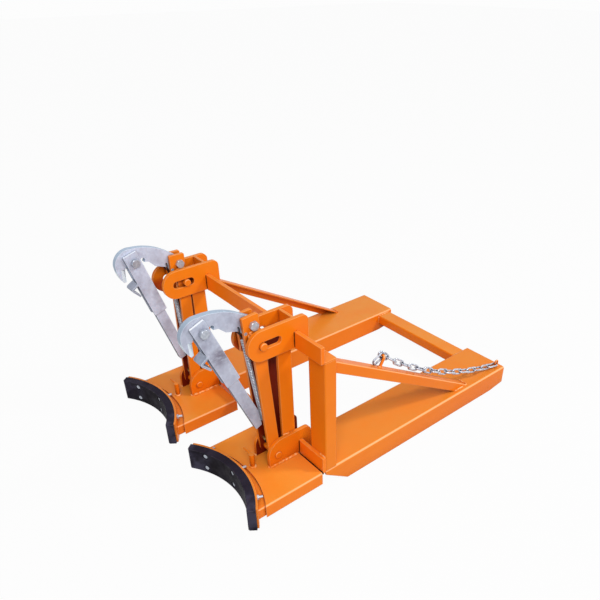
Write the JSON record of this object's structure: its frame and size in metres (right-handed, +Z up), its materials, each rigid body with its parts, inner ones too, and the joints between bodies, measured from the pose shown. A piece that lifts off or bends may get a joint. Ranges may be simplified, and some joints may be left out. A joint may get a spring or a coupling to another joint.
{
  "type": "forklift drum lifter",
  "caption": "Fork-mounted drum lifter with a welded frame, curved rubber pads and swinging arms whose sprung beaks and clamp levers grip drum rims, and a safety chain.",
  "frame": {"origin": "on the floor, under the middle of the whole lifter's box", "axes": "+Z up, +Y towards the truck, where the forks go in, -Y towards the drums, +X towards the side with the safety chain"},
  "size_m": [1.0532, 1.5108, 0.8238],
  "materials": {
    "orange_paint": "satin",
    "galvanised_steel": "dull mottled zinc",
    "zinc_steel": "bright zinc",
    "black_rubber": "matt",
    "spring_steel": "satin"
  },
  "bodies": {
    "chassis": {"fork_pocket_left": "orange_paint", "fork_pocket_right": "orange_paint", "rear_crossbar": "orange_paint", "upper_crossbar": "orange_paint", "lower_crossbar": "orange_paint", "post_left": "orange_paint", "post_right": "orange_paint", "post_caps": "orange_paint", "brace_left": "orange_paint", "brace_right": "orange_paint", "foot_channel_left": "orange_paint", "foot_nose_left": "orange_paint", "pad_backing_plate_left": "orange_paint", "rubber_pad_left": "black_rubber", "lug_plates_left": "orange_paint", "mast_bars_left": "orange_paint", "guide_plates_left": "orange_paint", "foot_channel_right": "orange_paint", "foot_nose_right": "orange_paint", "pad_backing_plate_right": "orange_paint", "rubber_pad_right": "black_rubber", "lug_plates_right": "orange_paint", "mast_bars_right": "orange_paint", "guide_plates_right": "orange_paint", "guide_spacers": "orange_paint", "lever_stops": "orange_paint", "arm_pivot_pins": "orange_paint", "pad_bolts": "zinc_steel", "pad_nuts": "zinc_steel", "chain_eye": "orange_paint", "chain_links": "zinc_steel", "chain_hook": "orange_paint"},
    "arm_left": {"arm_bars_left": "orange_paint", "arm_head_plates_left": "orange_paint", "guide_pin_left": "orange_paint", "spring_peg_left": "zinc_steel", "beak_stop_pin_left": "zinc_steel", "beak_pivot_bolt_left": "zinc_steel", "beak_pivot_nut_left": "zinc_steel", "tension_spring_left": "spring_steel"},
    "beak_left": {"beak_left": "galvanised_steel", "lever_bolt_left": "zinc_steel", "lever_nut_left": "zinc_steel"},
    "lever_left": {"lever_cheeks_left": "galvanised_steel", "lever_bar_left": "galvanised_steel", "lower_jaw_left": "galvanised_steel"},
    "arm_right": {"arm_bars_right": "orange_paint", "arm_head_plates_right": "orange_paint", "guide_pin_right": "orange_paint", "spring_peg_right": "zinc_steel", "beak_stop_pin_right": "zinc_steel", "beak_pivot_bolt_right": "zinc_steel", "beak_pivot_nut_right": "zinc_steel", "tension_spring_right": "spring_steel"},
    "beak_right": {"beak_right": "galvanised_steel", "lever_bolt_right": "zinc_steel", "lever_nut_right": "zinc_steel"},
    "lever_right": {"lever_cheeks_right": "galvanised_steel", "lever_bar_right": "galvanised_steel", "lower_jaw_right": "galvanised_steel"}
  },
  "joints": [
    {"name": "arm_swing_left", "type": "hinge", "parent": "chassis", "child": "arm_left", "pos_m": [-0.3, -0.46259, 0.15], "axis": [-1, 0, 0], "range_deg": [-4.95, 0.55]},
    {"name": "beak_tilt_left", "type": "hinge", "parent": "arm_left", "child": "beak_left", "pos_m": [-0.3, -0.45517, 0.71897], "axis": [-1, 0, 0], "range_deg": [0, 20], "stiffness_Nm_per_rad": 5, "springref_deg": -57.3, "deforming": ["tension_spring_left"]},
    {"name": "lever_swing_left", "type": "hinge", "parent": "beak_left", "child": "lever_left", "pos_m": [-0.3, -0.62821, 0.76845], "axis": [-1, 0, 0], "range_deg": [0, 12]},
    {"name": "arm_swing_right", "type": "hinge", "parent": "chassis", "child": "arm_right", "pos_m": [0.3, -0.46259, 0.15], "axis": [-1, 0, 0], "range_deg": [0, 5.5]},
    {"name": "beak_tilt_right", "type": "hinge", "parent": "arm_right", "child": "beak_right", "pos_m": [0.3, -0.50469, 0.71745], "axis": [-1, 0, 0], "range_deg": [0, 20], "stiffness_Nm_per_rad": 5, "springref_deg": -57.3, "deforming": ["tension_spring_right"]},
    {"name": "lever_swing_right", "type": "hinge", "parent": "beak_right", "child": "lever_right", "pos_m": [0.3, -0.68138, 0.7517], "axis": [-1, 0, 0], "range_deg": [0, 12]}
  ]
}
